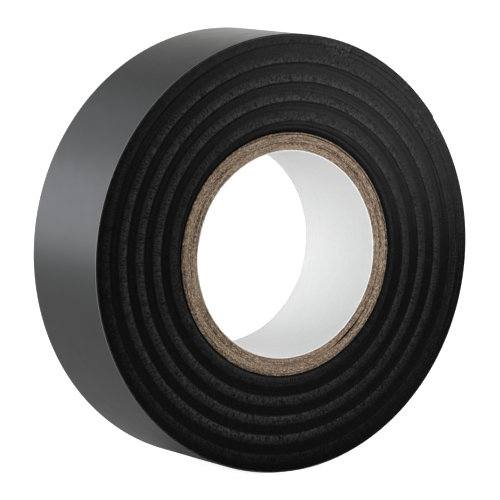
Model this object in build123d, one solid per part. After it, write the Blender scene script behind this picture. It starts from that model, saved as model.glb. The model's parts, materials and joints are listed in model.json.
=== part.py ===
"""Electrical tape roll: vinyl tape wound on a paperboard core, standing on its rim.

Millimetres. The origin is the centre of the core's bore. The roll's axis is Y and +Z is up.
Angles are measured in the XZ plane, from +X towards +Z.
"""
from build123d import *

import math
import os

# ---- driving dimensions -------------------------------------------------------------------------

TAPE_WIDTH = 19.0
TAPE_THICKNESS = 0.13
ADHESIVE_THICKNESS = 0.03
TURNS = 116

BORE_RADIUS = 16.0
LINER_THICKNESS = 0.15
PLY_THICKNESSES = {"inner": 1.1, "middle": 1.2, "outer": 0.3}

SCALLOP_COUNT = 5
SCALLOP_DEPTH = 0.15

RUNNING_CLEARANCE = 0.05
TAIL_LENGTH = 20.0
TAIL_LIFT = 0.03
TAIL_END_GAP = 0.05
PEEL_LINE_ANGLE = 70.0

# ---- sizes that follow --------------------------------------------------------------------------

LINER_OUTER_RADIUS = BORE_RADIUS + LINER_THICKNESS
CORE_RADIUS = LINER_OUTER_RADIUS + sum(PLY_THICKNESSES.values())
ROLL_RADIUS = CORE_RADIUS + TURNS * TAPE_THICKNESS
OUTER_TURN_BORE = ROLL_RADIUS - 2 * TAPE_THICKNESS
WINDING_RADIUS = OUTER_TURN_BORE - RUNNING_CLEARANCE
SCALLOP_PITCH = (WINDING_RADIUS - CORE_RADIUS) / SCALLOP_COUNT
HALF_WIDTH = TAPE_WIDTH / 2

# The outer turn's outside is a spiral that drops one tape thickness in a turn. It is made of four
# quarter arcs, whose centres are the corners of a small square about the axis.
QUARTER = 90.0
QUARTER_DROP = TAPE_THICKNESS / 4
SPIRAL_RADII = [ROLL_RADIUS - QUARTER_DROP / 2 - i * QUARTER_DROP for i in range(4)]
SPIRAL_CENTRES = [
    (QUARTER_DROP / 2, -QUARTER_DROP / 2),
    (QUARTER_DROP / 2, QUARTER_DROP / 2),
    (-QUARTER_DROP / 2, QUARTER_DROP / 2),
    (-QUARTER_DROP / 2, -QUARTER_DROP / 2),
]

# Seen from the front, the roll's plane has X to the right and Z up, and its normal is -Y.
FRONT = Plane(origin=(0, 0, 0), x_dir=(1, 0, 0), z_dir=(0, -1, 0))


def turned(radius, degrees, centre=(0.0, 0.0)):
    """The point of a circle about centre, with the peel line's direction as zero degrees."""
    angle = math.radians(degrees)
    x = centre[0] + radius * math.cos(angle)
    y = centre[1] + radius * math.sin(angle)
    peel = math.radians(PEEL_LINE_ANGLE)
    return (x * math.cos(peel) - y * math.sin(peel), x * math.sin(peel) + y * math.cos(peel))


def arc(radius, start, end, centre=(0.0, 0.0)):
    """An arc about centre, from one angle to another, counted from the peel line."""
    middle = (start + end) / 2
    return ThreePointArc(
        turned(radius, start, centre),
        turned(radius, middle, centre),
        turned(radius, end, centre),
    )


def across_width(face):
    """The face, drawn in the roll's plane, made as wide as the tape."""
    return extrude(FRONT * face, amount=HALF_WIDTH, both=True)


def sleeve(inner_radius, outer_radius):
    """A plain tube about the roll's axis, as wide as the tape."""
    return across_width(Circle(outer_radius) - Circle(inner_radius))


def core_pieces():
    """The paperboard tube: a thin paper liner and the plies wound on it, from the bore outwards."""
    pieces = {"core_liner": sleeve(BORE_RADIUS, LINER_OUTER_RADIUS)}
    radius = LINER_OUTER_RADIUS
    for ply, thickness in PLY_THICKNESSES.items():
        pieces["core_ply_" + ply] = sleeve(radius, radius + thickness)
        radius += thickness
    return pieces


def tape_winding():
    """All the turns but the last. Their edges wander, which leaves shallow rings on both sides."""
    crests = [CORE_RADIUS + i * SCALLOP_PITCH for i in range(SCALLOP_COUNT + 1)]
    bands = list(zip(crests[:-1], crests[1:]))
    trough = HALF_WIDTH - SCALLOP_DEPTH
    back = [
        ThreePointArc((inner, HALF_WIDTH), ((inner + outer) / 2, trough), (outer, HALF_WIDTH))
        for inner, outer in bands
    ]
    front = [
        ThreePointArc((outer, -HALF_WIDTH), ((inner + outer) / 2, -trough), (inner, -HALF_WIDTH))
        for inner, outer in reversed(bands)
    ]
    outside = Line((WINDING_RADIUS, HALF_WIDTH), (WINDING_RADIUS, -HALF_WIDTH))
    inside = Line((CORE_RADIUS, -HALF_WIDTH), (CORE_RADIUS, HALF_WIDTH))
    section = make_face(Wire([*back, outside, *front, inside]))
    return revolve(section, axis=Axis.Y, revolution_arc=360)


def outer_turn():
    """The last full turn. It is two thicknesses deep at the peel line and one under the tail."""
    outside = [
        arc(SPIRAL_RADII[i], i * QUARTER, (i + 1) * QUARTER, SPIRAL_CENTRES[i]) for i in range(4)
    ]
    step = Line(outside[-1] @ 1, outside[0] @ 0)
    return across_width(make_face(Wire([*outside, step])) - Circle(OUTER_TURN_BORE))


def tail_layer(bottom, thickness):
    """A layer of the tail, from bottom above the turn that it lies on, up to its thickness."""
    centre = SPIRAL_CENTRES[3]
    low = SPIRAL_RADII[3] + bottom
    high = low + thickness
    start = -math.degrees(TAIL_END_GAP / ROLL_RADIUS)
    end = start - math.degrees(TAIL_LENGTH / ROLL_RADIUS)
    under = arc(low, start, end, centre)
    over = arc(high, end, start, centre)
    free_end = Line(under @ 1, over @ 0)
    root_end = Line(over @ 1, under @ 0)
    return across_width(make_face(Wire([under, free_end, over, root_end])))


def tape_end():
    """The free end of the tape: its film, and the adhesive on the film's inner side."""
    film_bottom = TAIL_LIFT + ADHESIVE_THICKNESS
    return {
        "tape_end_adhesive": tail_layer(TAIL_LIFT, ADHESIVE_THICKNESS),
        "tape_end_film": tail_layer(film_bottom, TAPE_THICKNESS - ADHESIVE_THICKNESS),
    }


nodes = {
    **core_pieces(),
    "tape_winding": tape_winding(),
    "outer_turn": outer_turn(),
    **tape_end(),
}

os.makedirs("parts", exist_ok=True)
for name, solid in nodes.items():
    export_step(solid, os.path.join("parts", name + ".step"))

hinge = turned(SPIRAL_RADII[3] + TAIL_LIFT + TAPE_THICKNESS, 0.0, SPIRAL_CENTRES[3])
print("core radius", round(CORE_RADIUS, 3), "roll radius", round(ROLL_RADIUS, 3))
print("winding radius", round(WINDING_RADIUS, 3), "outer turn bore", round(OUTER_TURN_BORE, 3))
print("tail hinge x and z", round(hinge[0], 4), round(hinge[1], 4))
wound_area = math.pi * (ROLL_RADIUS**2 - CORE_RADIUS**2)
print("tape length in metres", round(wound_area / TAPE_THICKNESS / 1000, 2))
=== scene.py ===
"""Looks of the electrical tape roll: vinyl tape on a paperboard core, standing on its rim.

Metres, in the frame's own axes: the roll's axis is Y, its front side faces -Y and +Z is up.
Angles are measured in the XZ plane, from +X towards +Z. MM turns millimetres into metres.
"""
import json
import math

import bpy
import numpy as np
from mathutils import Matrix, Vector


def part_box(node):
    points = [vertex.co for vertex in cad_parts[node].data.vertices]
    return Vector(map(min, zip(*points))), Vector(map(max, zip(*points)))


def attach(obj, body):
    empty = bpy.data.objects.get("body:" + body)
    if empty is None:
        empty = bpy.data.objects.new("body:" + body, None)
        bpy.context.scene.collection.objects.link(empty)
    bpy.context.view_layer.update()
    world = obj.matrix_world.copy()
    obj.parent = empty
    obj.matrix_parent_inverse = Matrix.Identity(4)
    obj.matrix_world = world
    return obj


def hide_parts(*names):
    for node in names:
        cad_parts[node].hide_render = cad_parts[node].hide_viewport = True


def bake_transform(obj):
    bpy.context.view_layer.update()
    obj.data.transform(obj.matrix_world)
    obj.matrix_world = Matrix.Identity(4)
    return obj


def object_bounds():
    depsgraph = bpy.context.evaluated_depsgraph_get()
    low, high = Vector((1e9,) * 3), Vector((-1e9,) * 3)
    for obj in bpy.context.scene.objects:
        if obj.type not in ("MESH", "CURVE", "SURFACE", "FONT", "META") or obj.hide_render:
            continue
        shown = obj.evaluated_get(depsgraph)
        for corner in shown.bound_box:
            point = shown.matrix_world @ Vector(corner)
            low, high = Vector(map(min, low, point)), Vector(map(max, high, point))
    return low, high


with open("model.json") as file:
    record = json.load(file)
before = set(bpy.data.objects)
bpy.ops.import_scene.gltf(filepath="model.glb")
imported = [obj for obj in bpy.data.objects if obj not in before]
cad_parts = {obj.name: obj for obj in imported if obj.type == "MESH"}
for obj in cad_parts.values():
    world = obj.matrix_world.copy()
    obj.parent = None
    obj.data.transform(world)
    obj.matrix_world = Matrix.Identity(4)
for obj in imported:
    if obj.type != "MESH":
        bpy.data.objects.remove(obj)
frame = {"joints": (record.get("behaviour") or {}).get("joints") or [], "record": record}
cad_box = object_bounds()

MM = 0.001
TURN = 2 * math.pi

# ---- sizes, from the frame ----------------------------------------------------------------------


def outer_radius(node):
    """The radius of a round CAD node."""
    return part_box(node)[1].x


bore_mount = next(m for m in frame["record"]["mounts"] if m["name"] == "core_bore")
peel_joint = next(j for j in frame["joints"] if j["name"] == "tail_peel")
hinge = Vector(peel_joint["pos_m"])

HALF_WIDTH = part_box("outer_turn")[1].y
BORE_RADIUS = bore_mount["dims"]["r_mm"] * MM
LINER_RADIUS = outer_radius("core_liner")
INNER_PLY_RADIUS = outer_radius("core_ply_inner")
MIDDLE_PLY_RADIUS = outer_radius("core_ply_middle")
CORE_RADIUS = outer_radius("core_ply_outer")
FLOOR_HEIGHT = cad_box[0].z

# The tape's own sizes, as the CAD model has them.
TAPE_THICKNESS = 0.13 * MM
ADHESIVE_THICKNESS = 0.03 * MM
TAIL_LIFT = 0.03 * MM
TAIL_LENGTH = 20.0 * MM
TAIL_END_GAP = 0.05 * MM
PEEL_ANGLE = math.atan2(hinge.z, hinge.x)
ROLL_RADIUS = math.hypot(hinge.x, hinge.z) - TAIL_LIFT
CUT_ANGLE = PEEL_ANGLE - (TAIL_LENGTH + TAIL_END_GAP) / ROLL_RADIUS
LAST_TURN_BORE = ROLL_RADIUS - 2 * TAPE_THICKNESS

# ---- the knife's spiral on the roll's sides, which the mesh and the material share ---------------

# A ridge passes through RIDGE_RADIUS at RIDGE_ANGLE and comes inwards by one pitch in each turn.
# The whole spiral leans towards +X, by a share of its pitch.
RIDGE_PITCH = 2.98 * MM
RIDGE_RADIUS = 23.70 * MM
RIDGE_ANGLE = math.radians(60)
RIDGE_LEAN = 0.083
RIDGE_HEIGHT = 0.032 * MM


# ---- mesh helpers -------------------------------------------------------------------------------


def noise(u, v, cells_u, cells_v, seed):
    """Smooth random values from -1 to 1 over u and v from 0 to 1, which repeat both ways."""
    table = np.random.default_rng(seed).uniform(-1.0, 1.0, (cells_u, cells_v))
    x = u * cells_u
    y = v * cells_v
    i = np.floor(x).astype(int)
    j = np.floor(y).astype(int)
    fx = (x - i) ** 2 * (3 - 2 * (x - i))
    fy = (y - j) ** 2 * (3 - 2 * (y - j))
    i0, i1 = i % cells_u, (i + 1) % cells_u
    j0, j1 = j % cells_v, (j + 1) % cells_v
    low = table[i0, j0] * (1 - fx) + table[i1, j0] * fx
    high = table[i0, j1] * (1 - fx) + table[i1, j1] * fx
    return low * (1 - fy) + high * fy


def ring_noise(angle, cells, seed):
    """Smooth random values from -1 to 1 round the roll."""
    return noise(angle / TURN, 0 * angle, cells, 1, seed)


def smooth_step(value):
    """0 below 0 and 1 above 1, with a smooth rise between them."""
    t = np.clip(value, 0, 1)
    return t * t * (3 - 2 * t)


def bump(angle, centre, spread):
    """A smooth hump, 1 at centre and 0 beyond spread, both in degrees, along the angle."""
    away = (np.degrees(angle) - centre + 180) % 360 - 180
    return smooth_step(1 - np.abs(away) / spread)


def ring_angles(segments):
    """The angles of a ring's segments, as one column."""
    return np.linspace(0, TURN, segments, endpoint=False)[:, None]


def polar(angle, radius, across):
    """Points at an angle and radius about the roll's axis, and at a place across its width."""
    angle, radius, across = np.broadcast_arrays(angle, radius, across)
    return np.stack([radius * np.cos(angle), across, radius * np.sin(angle)], axis=-1)


def grid_piece(name, points, wrap_rows, material, sharp=35.0, side_material=None):
    """A mesh over a grid of points, rows by columns, whose columns close round on themselves.

    The rows close too, or else the first and the last row get an end face. Edges sharper than
    the sharp angle, in degrees, stay sharp. The faces that look along the roll's axis get the
    side material, if there is one.
    """
    rows, columns = points.shape[:2]
    last = rows if wrap_rows else rows - 1
    i = np.arange(last)[:, None]
    j = np.arange(columns)[None, :]
    i_next = (i + 1) % rows
    j_next = (j + 1) % columns
    quads = np.stack(
        [i * columns + j, i * columns + j_next, i_next * columns + j_next, i_next * columns + j],
        axis=-1,
    ).reshape(-1, 4)
    faces = quads.tolist()
    if not wrap_rows:
        faces.append(list(range(columns))[::-1])
        faces.append(list(range((rows - 1) * columns, rows * columns)))
    mesh = bpy.data.meshes.new(name)
    mesh.from_pydata(points.reshape(-1, 3).tolist(), [], faces)
    mesh.validate()
    mesh.shade_smooth()
    mesh.set_sharp_from_angle(angle=math.radians(sharp))
    mesh.materials.append(material)
    if side_material is not None:
        mesh.materials.append(side_material)
        for face in mesh.polygons:
            face.material_index = int(abs(face.normal.y) > 0.9)
    piece = bpy.data.objects.new(name, mesh)
    bpy.context.scene.collection.objects.link(piece)
    return piece


# ---- node helpers -------------------------------------------------------------------------------


class Shader:
    """A material or world whose nodes are made and joined by name.

    In the materials a radius and a place across the tape are in millimetres, an angle is in turns
    from 0 to 1, and points are in metres.
    """

    def __init__(self, owner):
        owner.use_nodes = True
        self.tree = owner.node_tree
        self.tree.nodes.clear()

    def node(self, kind, inputs=None, **settings):
        made = self.tree.nodes.new("ShaderNode" + kind)
        for key, value in settings.items():
            setattr(made, key, value)
        for key, value in (inputs or {}).items():
            self.feed(made.inputs[key], value)
        return made

    def feed(self, socket, value):
        if isinstance(value, bpy.types.NodeSocket):
            self.tree.links.new(value, socket)
        else:
            socket.default_value = value

    def math(self, operation, *values):
        inputs = dict(enumerate(values))
        return self.node("Math", inputs, operation=operation).outputs[0]

    def plus(self, first, second):
        return self.math("ADD", first, second)

    def minus(self, first, second):
        return self.math("SUBTRACT", first, second)

    def times(self, first, second):
        return self.math("MULTIPLY", first, second)

    def between(self, share, low, high):
        """The value that is low at share 0 and high at share 1."""
        return self.plus(self.times(low, 1.0 - share), self.times(high, share))

    def vector(self, x, y, z=0.0):
        return self.node("CombineXYZ", {0: x, 1: y, 2: z}).outputs[0]

    def noise(self, vector, scale, detail=3.0, roughness=0.55, distortion=0.0):
        inputs = {
            "Vector": vector,
            "Scale": scale,
            "Detail": detail,
            "Roughness": roughness,
            "Distortion": distortion,
        }
        return self.node("TexNoise", inputs).outputs["Fac"]

    def spread(self, value, low, high, to_low=0.0, to_high=1.0, smooth=True):
        """value from low..high to to_low..to_high, held at both ends."""
        inputs = {
            "Value": value,
            "From Min": low,
            "From Max": high,
            "To Min": to_low,
            "To Max": to_high,
        }
        kind = "SMOOTHSTEP" if smooth else "LINEAR"
        return self.node("MapRange", inputs, interpolation_type=kind).outputs[0]

    def mix(self, share, low, high):
        """The colour that is low at share 0 and high at share 1."""
        mixer = self.node("Mix", data_type="RGBA")
        self.feed(mixer.inputs["Factor"], share)
        self.feed(mixer.inputs["A"], low)
        self.feed(mixer.inputs["B"], high)
        return mixer.outputs["Result"]

    def height(self, value, distance, strength=1.0, after=None):
        """A bump normal from a height value, on top of an earlier one."""
        inputs = {"Height": value, "Distance": distance, "Strength": strength}
        if after is not None:
            inputs["Normal"] = after
        return self.node("Bump", inputs).outputs["Normal"]

    def point(self):
        """The point of the surface, in the roll's own axes."""
        return self.node("TexCoord").outputs["Object"]

    def round_place(self):
        """The radius, the angle and the place across the tape."""
        axes = self.node("SeparateXYZ", {0: self.point()}).outputs
        x, y, z = (self.math("DIVIDE", axes[k], MM) for k in range(3))
        radius = self.math("SQRT", self.plus(self.times(x, x), self.times(z, z)))
        angle = self.math("DIVIDE", self.math("ARCTAN2", z, x), TURN)
        return radius, self.math("FRACT", self.plus(angle, 1.0)), y

    def facing(self, angle, centre):
        """1 where the angle, in turns, is at centre, in degrees, and -1 on the opposite side."""
        return self.math("COSINE", self.minus(self.times(angle, TURN), math.radians(centre)))

    def away(self, value, centre):
        """How far a value is from centre, where both repeat at every whole number."""
        shifted = self.math("FRACT", self.plus(value, 0.5 - centre))
        return self.math("ABSOLUTE", self.minus(shifted, 0.5))

    def surface(self, inputs):
        shader = self.node("BsdfPrincipled", inputs)
        self.tree.links.new(shader.outputs[0], self.node("OutputMaterial").inputs[0])


def grey(value):
    return (value, value, value, 1.0)


def tinted(colour, factor):
    """A colour made darker by a factor."""
    return tuple(part * factor for part in colour[:3]) + (1.0,)


def new_material(name):
    material = bpy.data.materials.new(name)
    return material, Shader(material)


# ---- the material of the tape's cut edges -------------------------------------------------------

CUT_SMOOTH = grey(0.0)
CUT_WORN = grey(0.0036)
CUT_ROUGH = grey(0.048)
# Painted shade: near black for the crevice beside the core.
CREVICE_PAINTED_SHADE = grey(0.001)
# Painted shade: near black for the line along each crease.
CREASE_PAINTED_SHADE = grey(0.0)

# Radii, in millimetres, between which something fades in or out.
BANDS_START = (19.5, 22.5)
BANDS_END = (28.5, 32.0)
CALM_RIM = (27.5, 30.0)
LOOSE_RIM = (30.6, 32.0)
CREASES_START = (19.5, 21.0)
CREASES_END = (29.0, 31.5)
CREVICE = (CORE_RADIUS / MM + 0.05, CORE_RADIUS / MM + 0.7)

# Sides on which the rough bands are made lighter or darker, as painted sheen and shade: the angle of
# the side's middle in degrees, the values of facing() at which the change starts and is full, and the
# full change's factor.
BAND_LIGHT_AND_SHADE_SIDES = [
    (72, 0.45, 1.0, 1.8),
    (340, 0.30, 1.0, 0.75),
    (250, 0.60, 1.0, 1.25),
]
CALM_RIM_SIDE = 325
SCUFFED_SIDE = 55
LOOSE_SIDE = 28
# The side on which the painted shade along the creases is strongest.
CREASE_SHADE_SIDE = 100

# Places between one ridge of the spiral, 0, and the next, 1.
RIDGE_START = (0.0, 0.07)
CREST_END = (0.10, 0.34)
SHOULDER_END = (0.36, 0.56)
CREASE_PLACE = -0.03


def ring_place(s, radius, angle):
    """The place between one ridge of the knife's spiral, 0, and the next, 1."""
    spiral = s.math("DIVIDE", s.minus(radius, RIDGE_RADIUS / MM), RIDGE_PITCH / MM)
    place = s.plus(spiral, s.minus(angle, RIDGE_ANGLE / TURN))
    return s.math("FRACT", s.minus(place, s.times(s.facing(angle, 0), RIDGE_LEAN)))


def rough_bands_with_painted_sheen(s, place, radius, angle):
    """How rough the knife left the surface, most at each ridge; on some sides the bands are painted
    lighter or darker, as sheen and shade.
    """
    crest = s.spread(place, *CREST_END, 1.0, 0.0)
    shoulder = s.spread(place, *SHOULDER_END, 1.0, 0.0)
    rough = s.times(s.between(0.5, crest, shoulder), s.spread(place, *RIDGE_START))
    rough = s.times(rough, s.spread(radius, *BANDS_START, 0.55, 1.0))
    rough = s.times(rough, s.spread(radius, *BANDS_END, 1.0, 0.28))
    # Painted sheen and shade: the bands are lighter on some sides and darker on others.
    for middle, start, full, factor in BAND_LIGHT_AND_SHADE_SIDES:
        rough = s.times(rough, s.spread(s.facing(angle, middle), start, full, 1.0, factor))
    calm = s.times(s.spread(s.facing(angle, CALM_RIM_SIDE), 0.3, 0.9), s.spread(radius, *CALM_RIM))
    return s.times(rough, s.spread(calm, 0.0, 1.0, 1.0, 0.5, smooth=False))


def loose_rim(s, patch, radius, angle):
    """Scuffs and the edges of loose turns near the rim, on one side of the roll."""
    near_rim = s.spread(radius, *LOOSE_RIM)
    scuffs = s.times(s.spread(s.facing(angle, SCUFFED_SIDE), 0.85, 0.975), s.spread(patch, 0.42, 0.58))
    long_lines = s.noise(s.vector(s.times(angle, 8.0), s.times(radius, 3.6), 1.0), 1.0, detail=2.0)
    loose = s.times(s.spread(long_lines, 0.45, 0.65), s.spread(s.facing(angle, LOOSE_SIDE), 0.1, 0.8))
    return s.times(near_rim, s.plus(s.times(scuffs, 1.1), s.times(loose, 0.3)))


def crease_lines_and_shade(s, place, radius, angle):
    """A thin crease just inside each ridge, with painted shade along it, faint at the rim and on the
    lower side.
    """
    line = s.spread(s.away(place, CREASE_PLACE), 0.01, 0.05, 1.0, 0.0)
    line = s.times(line, s.spread(radius, *CREASES_START))
    line = s.times(line, s.spread(radius, *CREASES_END, 1.0, 0.45))
    return s.times(line, s.spread(s.facing(angle, CREASE_SHADE_SIDE), -0.1, 0.7, 0.4, 1.0))


def tape_side_material():
    """The cut edges of the wound turns. The knife left a spiral of rough and smooth bands."""
    material, s = new_material("cut_tape_edges")
    radius, angle, _ = s.round_place()
    point = s.point()
    chatter = s.noise(s.vector(s.times(angle, 700.0), s.times(radius, 0.9), 1.0), 1.0, detail=2.0)
    grain = s.noise(point, 3400.0, detail=2.0, roughness=0.7)
    lumps = s.noise(point, 620.0, detail=2.0)
    patch = s.noise(point, 260.0, detail=3.0)
    worn = s.plus(s.between(0.58, chatter, grain), s.times(s.minus(lumps, 0.5), 0.14))
    place = ring_place(s, radius, angle)
    band = s.plus(rough_bands_with_painted_sheen(s, place, radius, angle), loose_rim(s, patch, radius, angle))
    crease_and_shade = crease_lines_and_shade(s, place, radius, angle)
    past_crevice = s.spread(radius, *CREVICE)

    lightness = s.times(band, s.spread(worn, 0.39, 0.62, 0.0, 2.15))
    colour = s.mix(s.spread(worn, 0.45, 0.68), CUT_SMOOTH, CUT_WORN)
    colour = s.mix(s.times(lightness, 0.36), colour, CUT_ROUGH)
    # Painted shade: the crevice beside the core is coloured near black.
    colour = s.mix(past_crevice, CREVICE_PAINTED_SHADE, colour)
    # Painted shade: a dark line along each crease.
    colour = s.mix(crease_and_shade, colour, CREASE_PAINTED_SHADE)

    turn_edges = s.math("SINE", s.times(radius, TURN / (TAPE_THICKNESS / MM)))
    relief = s.height(turn_edges, 0.006 * MM, 0.3)
    relief = s.height(grain, 0.04 * MM, s.spread(band, 0.0, 1.0, 0.45, 1.0, smooth=False), relief)
    relief = s.height(patch, 0.05 * MM, 0.4, relief)
    relief = s.height(s.minus(1.0, crease_and_shade), 0.05 * MM, 1.0, relief)
    gloss = s.spread(band, 0.0, 0.8, 0.24, 0.47, smooth=False)
    s.surface(
        {
            "Base Color": colour,
            "Roughness": s.plus(s.times(s.minus(1.0, past_crevice), 0.25), gloss),
            "Normal": relief,
            "Specular IOR Level": 0.075,
        }
    )
    return material


# ---- the materials of the tape's faces ----------------------------------------------------------

VINYL_DARK = (0.0105, 0.0108, 0.0118, 1.0)
VINYL_LIGHT = (0.0155, 0.0158, 0.0170, 1.0)
EDGE_PAINTED_HIGHLIGHT = grey(0.22)
CUT_WHITENING_AND_HIGHLIGHT = grey(0.20)
ADHESIVE_DARK = (0.006, 0.006, 0.006, 1.0)
ADHESIVE_LIGHT = (0.016, 0.015, 0.014, 1.0)

# In millimetres: the places across the tape between which its edge is painted pale, a painted
# highlight, and the distances from the cut along the tape between which the cut's paleness,
# stretch-whitening and painted highlight, fades out. The edge's painted highlight is on one side.
EDGE_HIGHLIGHT_PLACES = (HALF_WIDTH / MM - 0.30, HALF_WIDTH / MM - 0.08)
CUT_PALE_FADE = (0.06, 0.32)
EDGE_HIGHLIGHT_SIDE = 166


def tape_face_material(name, end_whitening_and_highlight):
    """The outside of the vinyl: smooth and soft-glossed, with faint lines along the strip.

    Its edge is painted pale on one side, a painted highlight. Where it was cut off, the free end is
    paled by the given share, as stretch-whitening and a painted highlight.
    """
    material, s = new_material(name)
    _, angle, across = s.round_place()
    point = s.point()
    streaks = s.noise(s.vector(s.times(angle, 5.0), s.times(across, 1.6)), 3.0, detail=4.0)
    mottle = s.noise(point, 420.0, detail=3.0)
    fine = s.noise(point, 6500.0, detail=2.0)
    # Painted highlight: the tape's edge is coloured pale on one side.
    edge = s.spread(s.math("ABSOLUTE", across), *EDGE_HIGHLIGHT_PLACES)
    edge = s.times(edge, s.spread(s.facing(angle, EDGE_HIGHLIGHT_SIDE), -0.2, 0.4, 0.0, 0.8))
    # The cut end is paled: stretch-whitening, and a painted highlight.
    past_cut = s.times(s.minus(angle, CUT_ANGLE / TURN), TURN * ROLL_RADIUS / MM)
    cut = s.spread(past_cut, *CUT_PALE_FADE, end_whitening_and_highlight, 0.0)

    colour = s.mix(streaks, VINYL_DARK, VINYL_LIGHT)
    colour = s.mix(edge, colour, EDGE_PAINTED_HIGHLIGHT)
    colour = s.mix(cut, colour, CUT_WHITENING_AND_HIGHLIGHT)
    relief = s.height(fine, 0.006 * MM, 0.5)
    relief = s.height(streaks, 0.02 * MM, 0.35, relief)
    relief = s.height(mottle, 0.02 * MM, 0.3, relief)
    s.surface(
        {
            "Base Color": colour,
            "Roughness": s.spread(mottle, 0.3, 0.7, 0.33, 0.38, smooth=False),
            "Normal": relief,
            "Specular IOR Level": 0.65,
        }
    )
    return material


def adhesive_material():
    """The tacky black coat under the tape: glossy, with faint lines where it was pulled."""
    material, s = new_material("adhesive_coat")
    _, angle, across = s.round_place()
    pulls = s.noise(s.vector(s.times(angle, 300.0), s.times(across, 0.25)), 2.0, detail=4.0)
    blotch = s.noise(s.point(), 700.0, detail=4.0)
    relief = s.height(pulls, 0.02 * MM, 0.6)
    relief = s.height(blotch, 0.03 * MM, 0.4, relief)
    s.surface(
        {
            "Base Color": s.mix(blotch, ADHESIVE_DARK, ADHESIVE_LIGHT),
            "Roughness": s.spread(blotch, 0.3, 0.7, 0.12, 0.3, smooth=False),
            "Normal": relief,
        }
    )
    return material


# ---- the materials of the core ------------------------------------------------------------------

BOARD_DARK = (0.024, 0.0125, 0.0065, 1.0)
BOARD_LIGHT = (0.335, 0.238, 0.163, 1.0)
PALE_FLECK = (0.54, 0.42, 0.31, 1.0)
DARK_FLECK = (0.022, 0.012, 0.007, 1.0)
CRACK_PAINTED_SHADE = (0.010, 0.007, 0.005, 1.0)
# Depths below the roll's side, in millimetres, between which painted shade darkens a crack.
CRACK_SHADE_DEPTHS = (0.20, 0.34)

PAPER_DARK = (0.862, 0.861, 0.86, 1.0)
PAPER_LIGHT = (0.922, 0.921, 0.916, 1.0)
SEAM_COLOUR = (0.60, 0.59, 0.57, 1.0)
# In one turn the liner's seam climbs by SEAM_LEAD, in millimetres.
SEAM_LEAD = 52.0
SEAM_PLACE = -0.28


def board_material(name, tint):
    """Grey-brown paperboard: matted fibres, pale and dark flecks, its layers, and painted shade deep
    in its cracks.
    """
    material, s = new_material(name)
    radius, angle, across = s.round_place()
    layered = s.vector(s.times(angle, 15.0), s.times(radius, 5.2), across)
    chopped = s.vector(s.times(angle, 320.0), s.times(radius, 6.6), across)
    strewn = s.vector(s.times(angle, 330.0), s.times(radius, 6.6), across)
    layers = s.noise(layered, 1.0, detail=2.0, roughness=0.6, distortion=0.3)
    fibres = s.noise(chopped, 1.0, detail=3.0, roughness=0.7, distortion=0.8)
    flecks = s.noise(strewn, 1.0, detail=2.0, roughness=0.7)
    matted = s.between(0.55, layers, fibres)
    below = s.minus(HALF_WIDTH / MM, s.math("ABSOLUTE", across))

    matting = s.spread(matted, 0.39, 0.57, smooth=False)
    colour = s.mix(matting, tinted(BOARD_DARK, tint), tinted(BOARD_LIGHT, tint))
    colour = s.mix(s.spread(flecks, 0.55, 0.64), colour, PALE_FLECK)
    colour = s.mix(s.spread(flecks, 0.41, 0.32, 0.0, 0.75), colour, DARK_FLECK)
    # Painted shade: board deep below the side, inside the cracks, is coloured dark.
    colour = s.mix(s.spread(below, *CRACK_SHADE_DEPTHS), colour, CRACK_PAINTED_SHADE)
    relief = s.height(flecks, 0.12 * MM, 0.7)
    relief = s.height(matted, 0.12 * MM, 0.8, relief)
    s.surface(
        {"Base Color": colour, "Roughness": 0.9, "Normal": relief, "Specular IOR Level": 0.25}
    )
    return material


def liner_material():
    """White lining paper, with faint fibres, faint lines round the bore and its wound seam."""
    material, s = new_material("lining_paper")
    _, angle, across = s.round_place()
    lines = s.noise(s.vector(s.times(angle, 14.0), s.times(across, 2.2)), 1.6, detail=4.0)
    fibres = s.noise(s.point(), 2400.0, detail=3.0, roughness=0.7)
    seam_place = s.plus(angle, s.math("DIVIDE", across, SEAM_LEAD))
    seam = s.spread(s.away(seam_place, SEAM_PLACE), 0.0006, 0.0018, 1.0, 0.0)

    colour = s.mix(s.spread(s.between(0.5, lines, fibres), 0.3, 0.7), PAPER_DARK, PAPER_LIGHT)
    colour = s.mix(s.times(seam, 0.4), colour, SEAM_COLOUR)
    relief = s.height(fibres, 0.02 * MM, 0.5)
    relief = s.height(lines, 0.03 * MM, 0.4, relief)
    s.surface(
        {"Base Color": colour, "Roughness": 0.72, "Normal": relief, "Specular IOR Level": 0.3}
    )
    return material


# ---- the core -----------------------------------------------------------------------------------

CORE_SEGMENTS = 1080

# A ply's ends: the width of a row of points, how deep the torn surface goes, the width that its
# pattern repeats in, and how far and how wide the surface drops at its edges.
END_ROW = 0.11 * MM
END_DEPTH = 0.12 * MM
END_REPEAT = 4 * MM
EDGE_DROP = 0.10 * MM
EDGE_WIDTH = 0.07 * MM

# How far the board reaches over the liner at its ends, and the gaps and cracks between the plies.
BOARD_REACH = 0.11 * MM
BOARD_GAP = 0.012 * MM
INNER_CRACK = 0.16 * MM
OUTER_CRACK = 0.13 * MM
CRACK_DEPTH = 1.2 * MM


def end_relief(angle, radius, seed):
    """How far the cut end of a ply lies below the roll's side, torn and fibrous."""
    turns = angle / TURN
    across = radius / END_REPEAT
    coarse = noise(turns, across, 150, 9, seed)
    fine = noise(turns, across, 540, 36, seed + 1)
    wave = noise(turns, across, 9, 2, seed + 2)
    return END_DEPTH * (0.45 + 0.30 * coarse + 0.35 * fine + 0.15 * wave)


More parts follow.
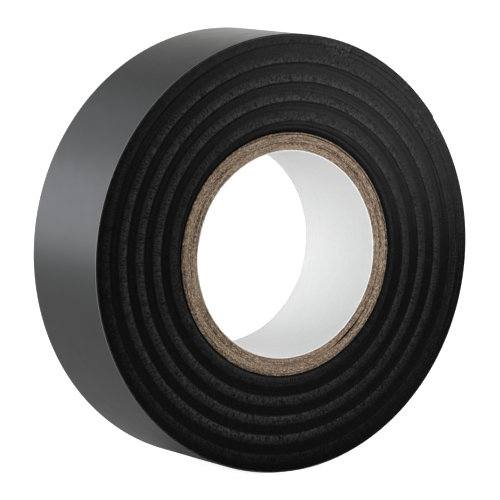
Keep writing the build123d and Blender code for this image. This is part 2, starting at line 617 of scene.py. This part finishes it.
def ply_piece(name, node, radii, gaps, seed, material, reach=0.0):
    """One wound ply of the core, from an inner radius to an outer one.

    The two gaps are functions of the angle. They say how far the ply's ends stand off these radii,
    down to the depth of a crack. The ends also reach inwards past the inner radius, raggedly.
    """
    inner, outer = radii
    inner_gap, outer_gap = gaps
    angle = ring_angles(CORE_SEGMENTS)
    rows = max(3, round((outer - inner) / END_ROW))
    low = inner + inner_gap(angle) - reach * (1 + 0.4 * ring_noise(angle, 260, seed + 3))
    high = outer - outer_gap(angle)
    radius = low + (high - low) * np.linspace(0, 1, rows + 1)[None, :]
    from_edge = np.minimum(radius - low, high - radius)
    soft_edge = EDGE_DROP * np.exp(-from_edge / EDGE_WIDTH)
    front = -HALF_WIDTH + end_relief(angle, radius, seed) + soft_edge
    back = HALF_WIDTH - end_relief(angle, radius, seed + 10) - soft_edge
    deep = HALF_WIDTH - CRACK_DEPTH
    points = np.concatenate(
        [
            polar(angle, radius, front),
            polar(angle, outer, -deep),
            polar(angle, outer, deep),
            polar(angle, radius, back)[:, ::-1],
            polar(angle, inner, deep),
            polar(angle, inner, -deep),
        ],
        axis=1,
    )
    piece = grid_piece(name, points, True, material, sharp=60.0)
    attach(piece, "roll")
    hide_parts(node)


def glued(angle):
    """The gap at a ply's edge where nothing has come loose."""
    return BOARD_GAP + 0 * angle


def inner_crack(angle):
    """The gap between the inner and the middle ply: open low on the right, a glue line above."""
    crack = bump(angle, 311, 16) + 0.35 * bump(angle, 322, 40)
    return BOARD_GAP + INNER_CRACK * (crack + 0.2 * bump(angle, 50, 34))


def outer_crack(angle):
    """The gap between the middle and the outer ply, which has lifted high on the right."""
    uneven = 0.6 + 0.4 * ring_noise(angle, 40, seed=71)
    return BOARD_GAP + OUTER_CRACK * bump(angle, 50, 62) * uneven


def core_plies():
    """Three plies. The thin outer one is a little darker."""
    board = board_material("core_board_inner", 1.0)
    dark_board = board_material("core_board_outer", 0.84)
    ply_piece(
        "ply_inner",
        "core_ply_inner",
        radii=(LINER_RADIUS, INNER_PLY_RADIUS),
        gaps=(glued, inner_crack),
        seed=11,
        material=board,
        reach=BOARD_REACH,
    )
    ply_piece(
        "ply_middle",
        "core_ply_middle",
        radii=(INNER_PLY_RADIUS, MIDDLE_PLY_RADIUS),
        gaps=(inner_crack, outer_crack),
        seed=31,
        material=board,
    )
    ply_piece(
        "ply_outer",
        "core_ply_outer",
        radii=(MIDDLE_PLY_RADIUS, CORE_RADIUS),
        gaps=(outer_crack, glued),
        seed=51,
        material=dark_board,
    )


# The liner: how far its rims stand back and how unevenly they are cut, how far its surface waves
# and its back goes into the board, and the lip that curls inwards at both rims.
LINER_STEPS = 40
LINER_SETBACK = 0.06 * MM
RIM_WAVE = 0.07 * MM
RIM_TEAR = 0.03 * MM
LINER_WAVE = 0.02 * MM
LINER_OVERLAP = 0.01 * MM
LIP_RISE = 0.13 * MM
LIP_WIDTH = 0.35 * MM


def bore_liner():
    """The white paper skin of the bore.

    Its rims are cut a little unevenly. A torn lip curls inwards at both, with the board under it.
    """
    angle = ring_angles(CORE_SEGMENTS)
    turns = angle / TURN
    rim = RIM_WAVE * ring_noise(angle, 26, seed=81) + RIM_TEAR * ring_noise(angle, 220, seed=82)
    front = -HALF_WIDTH + LINER_SETBACK + rim
    back = HALF_WIDTH - LINER_SETBACK - np.roll(rim, CORE_SEGMENTS // 3, axis=0)
    share = 0.5 - 0.5 * np.cos(np.linspace(0, math.pi, LINER_STEPS + 1))[None, :]
    across = front + (back - front) * share
    curl = np.exp(-(((HALF_WIDTH - np.abs(across)) / LIP_WIDTH) ** 2))
    torn = 1 + 0.35 * noise(turns, share, 420, 2, seed=84)
    wave = LINER_WAVE * (1 + noise(turns, share, 7, 3, seed=83))
    inside = BORE_RADIUS + wave - LIP_RISE * torn * curl
    outside = LINER_RADIUS + LINER_OVERLAP - BOARD_REACH * curl
    points = np.concatenate(
        [polar(angle, outside, across), polar(angle, inside, across)[:, ::-1]], axis=1
    )
    piece = grid_piece("bore_liner", points, True, liner_material(), sharp=50.0)
    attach(piece, "roll")
    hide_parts("core_liner")


# ---- the wound tape -----------------------------------------------------------------------------

SIDE_SEGMENTS = 288
SIDE_ROWS = 166
SIDE_SETBACK = 0.02 * MM
WINDING_GAP = 0.004 * MM

# The shares of the pitch in which a valley deepens and rises again. Towards the rim the rings
# fade to the least share of their depth.
VALLEY_IN = 0.55
VALLEY_OUT = 0.42
RIM_FADE_END = ROLL_RADIUS + 1.0 * MM
RIM_FADE_WIDTH = 5.0 * MM
RIM_FADE_LEAST = 0.25

# The turns wander in wide waves, and in narrow ones about two turns wide. The pattern repeats in
# WANDER_REPEAT.
WANDER = 0.02 * MM
TURN_WANDER = 0.012 * MM
WANDER_REPEAT = 16 * MM

# The dark crevice beside the core.
CORE_GAP_DEPTH = 0.32 * MM
CORE_GAP_WIDTH = 0.36 * MM


def side_relief(angle, radius, seed):
    """How far the roll's side lies below its crests: the knife's spiral, and small wandering."""
    turns = angle / TURN
    place = (radius - RIDGE_RADIUS) / RIDGE_PITCH + (angle - RIDGE_ANGLE) / TURN
    place = place - RIDGE_LEAN * np.cos(angle)
    place = place - np.floor(place)
    valley = smooth_step(place / VALLEY_IN) * smooth_step((1.0 - place) / VALLEY_OUT)
    fade = np.clip((RIM_FADE_END - radius) / RIM_FADE_WIDTH, RIM_FADE_LEAST, 1)
    across = (radius - CORE_RADIUS) / WANDER_REPEAT
    wander = WANDER * noise(turns, across, 11, 7, seed)
    turn_wander = TURN_WANDER * noise(turns, across, 7, 61, seed + 1)
    gap = CORE_GAP_DEPTH * np.exp(-(((radius - CORE_RADIUS) / CORE_GAP_WIDTH) ** 2))
    return RIDGE_HEIGHT * valley * fade + gap + SIDE_SETBACK + wander + turn_wander


def wound_tape(side_material):
    """All the turns but the last, with the spiral of the slitting knife on both sides."""
    angle = ring_angles(SIDE_SEGMENTS)
    outer = LAST_TURN_BORE - WINDING_GAP
    share = np.linspace(0, 1, SIDE_ROWS + 1)[None, :]
    radius = CORE_RADIUS + (outer - CORE_RADIUS) * share + 0 * angle
    front = -HALF_WIDTH + side_relief(angle, radius, seed=91)
    back = HALF_WIDTH - side_relief(angle, radius, seed=95)
    points = np.concatenate(
        [polar(angle, radius, front), polar(angle, radius, back)[:, ::-1]], axis=1
    )
    piece = grid_piece("wound_tape", points, True, side_material, sharp=60.0)
    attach(piece, "roll")
    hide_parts("tape_winding")


# ---- the last turn and the free end -------------------------------------------------------------

TURN_SEGMENTS = 540
FACE_STEPS = 36
CORNER_STEPS = 4
EDGE_ROUND = 0.045 * MM
EDGE_ROUND_MOST = 0.45
SEAM_GAP = 0.004 * MM

# At the peel line the last turn stands off by the tail's lift, and comes down within this angle.
LIFT_ANGLE = 0.25

# The free end has as many rows of points in its first stretch, where it bends, as in the rest.
TAIL_ROWS = 70
TAIL_BEND_SHARE = 0.08


def strip_section(low, high):
    """A strip's section: a rounded rectangle from low to high, as radius and across arrays.

    A corner is no rounder than a share of the strip's thickness allows.
    """
    corner = np.minimum(EDGE_ROUND, (high - low) * EDGE_ROUND_MOST)
    quarter = np.linspace(0, math.pi / 2, CORNER_STEPS + 1)[None, :]
    face = np.linspace(-1, 1, FACE_STEPS + 1)[None, 1:-1] * (HALF_WIDTH - EDGE_ROUND)
    corners = []
    for up, side in ((1, -1), (1, 1), (-1, 1), (-1, -1)):
        middle = high - corner if up > 0 else low + corner
        sweep = quarter if up != side else quarter[:, ::-1]
        radius = middle + up * corner * np.sin(sweep)
        across = side * (HALF_WIDTH - corner) + side * corner * np.cos(sweep)
        corners.append((radius, across))
    top = (high + 0 * face, face + 0 * high)
    under = (low + 0 * face, -face + 0 * low)
    parts = [corners[0], top, corners[1], corners[2], under, corners[3]]
    return np.concatenate([p[0] for p in parts], 1), np.concatenate([p[1] for p in parts], 1)


def last_turn(material, side_material):
    """The last full turn. Its outside drops one thickness in a turn, to pass under the tail.

    Its first and last rows lie two seam gaps apart, and the step at the peel line joins them.
    """
    start = -(TAIL_END_GAP - SEAM_GAP) / ROLL_RADIUS
    end = TURN - 2 * SEAM_GAP / ROLL_RADIUS + start
    past = start + (end - start) * np.linspace(0, 1, TURN_SEGMENTS)[:, None]
    lift = TAIL_LIFT * np.clip(1 - past / LIFT_ANGLE, 0, 1) ** 2
    high = ROLL_RADIUS - TAPE_THICKNESS * np.clip(past, 0, None) / TURN + lift
    low = LAST_TURN_BORE + 0 * past
    radius, across = strip_section(low, high)
    points = polar(PEEL_ANGLE + past, radius, across)
    piece = grid_piece("last_turn_film", points, True, material, side_material=side_material)
    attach(piece, "last_turn")
    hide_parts("outer_turn")


def tail_layer(name, node, bottom, thickness, material, side_material):
    """A layer of the free end, which lies along the roll from the peel line."""
    near = np.linspace(0, TAIL_BEND_SHARE, TAIL_ROWS)
    far = np.linspace(TAIL_BEND_SHARE, 1, TAIL_ROWS)[1:]
    length = np.concatenate([near, far])[:, None] * TAIL_LENGTH
    past = (length + TAIL_END_GAP) / ROLL_RADIUS
    low = ROLL_RADIUS - TAPE_THICKNESS * (TURN - past) / TURN + bottom
    radius, across = strip_section(low, low + thickness)
    points = polar(PEEL_ANGLE - past, radius, across)
    piece = grid_piece(name, points, False, material, side_material=side_material)
    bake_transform(piece)
    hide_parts(node)


def free_end(film_material, side_material):
    """The free end of the tape: its adhesive, and its film on top of that."""
    tail_layer(
        "tail_adhesive",
        "tape_end_adhesive",
        bottom=TAIL_LIFT,
        thickness=ADHESIVE_THICKNESS,
        material=adhesive_material(),
        side_material=side_material,
    )
    tail_layer(
        "tail_film",
        "tape_end_film",
        bottom=TAIL_LIFT + ADHESIVE_THICKNESS,
        thickness=TAPE_THICKNESS - ADHESIVE_THICKNESS,
        material=film_material,
        side_material=side_material,
    )


# ---- studio -------------------------------------------------------------------------------------

CAMERA_AZIMUTH = math.radians(-32.46)
CAMERA_ELEVATION = math.radians(6.89)
CAMERA_LENS = 261.3
CAMERA_DISTANCE = 16.66 * ROLL_RADIUS
CAMERA_RIGHT = -0.0164 * ROLL_RADIUS
CAMERA_UP = -0.0080 * ROLL_RADIUS

WORLD_LIGHT = 0.33
FLOOR_REACH = 30.0
FLOOR_SHADE = 0.9
FLOOR_GLOW = 0.9

NEUTRAL = (1.0, 1.0, 1.0)
COOL = (0.965, 0.985, 1.05)
WARM = (1.01, 1.02, 0.955)

# name, azimuth and elevation in degrees, distance, width and height in metres, watts, colour
LIGHTS = [
    ("left_back", -148, 6.5, 0.9, 0.55, 0.46, 1.75, COOL),
    ("left_back_high", -160, 27, 0.9, 0.55, 0.20, 0.28, COOL),
    ("left_back_low", -128, -4, 0.9, 0.4, 0.12, 1.15, WARM),
    ("right_back", 149, 9, 0.9, 0.7, 0.26, 0.34, WARM),
    ("right_back_high", 149, 16, 0.9, 0.7, 0.26, 0.35, WARM),
    ("left", -104, 8, 0.8, 0.35, 0.35, 1.1, NEUTRAL),
    ("left_high", -110, 50, 0.8, 0.5, 0.5, 0.83, NEUTRAL),
    ("front_left", -55, 5, 0.8, 0.5, 0.3, 0.73, NEUTRAL),
    ("front", -40, 20, 0.8, 0.5, 0.4, 0.5, NEUTRAL),
    ("near_right", 45, 15, 0.12, 0.07, 0.07, 0.080, NEUTRAL),
]


def direction(azimuth, elevation):
    """The way from the roll to where the azimuth and elevation say."""
    return Vector(
        (
            math.sin(azimuth) * math.cos(elevation),
            -math.cos(azimuth) * math.cos(elevation),
            math.sin(elevation),
        )
    )


def camera():
    """A long lens, a little off the line to the roll's centre."""
    back = direction(CAMERA_AZIMUTH, CAMERA_ELEVATION)
    right = (-back).cross(Vector((0, 0, 1))).normalized()
    up = right.cross(-back)
    lens = bpy.data.cameras.new("camera")
    lens.lens = CAMERA_LENS
    lens.sensor_width = 36.0
    lens.clip_start = 0.01
    lens.clip_end = 100.0
    eye = bpy.data.objects.new("camera", lens)
    bpy.context.scene.collection.objects.link(eye)
    eye.location = back * CAMERA_DISTANCE + right * CAMERA_RIGHT + up * CAMERA_UP
    eye.rotation_euler = (-back).to_track_quat("-Z", "Y").to_euler()
    bpy.context.scene.camera = eye


def soft_box(name, azimuth, elevation, distance, width, height, power, colour):
    """A soft light that faces the roll from an azimuth and elevation, as the camera has them."""
    light = bpy.data.lights.new(name, "AREA")
    light.shape = "RECTANGLE"
    light.size = width
    light.size_y = height
    light.energy = power
    light.color = colour
    lamp = bpy.data.objects.new(name, light)
    bpy.context.scene.collection.objects.link(lamp)
    back = direction(math.radians(azimuth), math.radians(elevation))
    lamp.location = back * distance
    lamp.rotation_euler = (-back).to_track_quat("-Z", "Y").to_euler()
    lamp.visible_camera = False


def floor_material():
    """A pale floor, which the eye sees a little brighter than it lights the roll."""
    material, s = new_material("pale_floor")
    seen = s.node("LightPath").outputs["Is Camera Ray"]
    s.surface(
        {
            "Base Color": grey(FLOOR_SHADE),
            "Roughness": 0.9,
            "Specular IOR Level": 0.1,
            "Emission Color": grey(1.0),
            "Emission Strength": s.spread(seen, 0.0, 1.0, 0.0, FLOOR_GLOW, smooth=False),
        }
    )
    return material


def floor():
    """A wide square under the roll."""
    corners = [(-1, -1), (1, -1), (1, 1), (-1, 1)]
    points = [(x * FLOOR_REACH, y * FLOOR_REACH, FLOOR_HEIGHT) for x, y in corners]
    mesh = bpy.data.meshes.new("floor")
    mesh.from_pydata(points, [], [(0, 1, 2, 3)])
    mesh.materials.append(floor_material())
    piece = bpy.data.objects.new("floor", mesh)
    bpy.context.scene.collection.objects.link(piece)


def studio_world():
    """White all round, brighter to the eye than as a light."""
    world = bpy.data.worlds.new("studio")
    bpy.context.scene.world = world
    s = Shader(world)
    seen = s.node("LightPath").outputs["Is Camera Ray"]
    strength = s.spread(seen, 0.0, 1.0, WORLD_LIGHT, 1.0, smooth=False)
    back = s.node("Background", {"Color": grey(1.0), "Strength": strength})
    s.tree.links.new(back.outputs[0], s.node("OutputWorld").inputs[0])


# ---- the scene ----------------------------------------------------------------------------------

bpy.context.scene.view_settings.view_transform = "Standard"
camera()
floor()
studio_world()
for light in LIGHTS:
    soft_box(*light)

cut_edges = tape_side_material()
vinyl = tape_face_material("vinyl_face", 0.0)
end_vinyl = tape_face_material("vinyl_end", 0.5)
bore_liner()
core_plies()
wound_tape(cut_edges)
last_turn(vinyl, cut_edges)
free_end(end_vinyl, cut_edges)
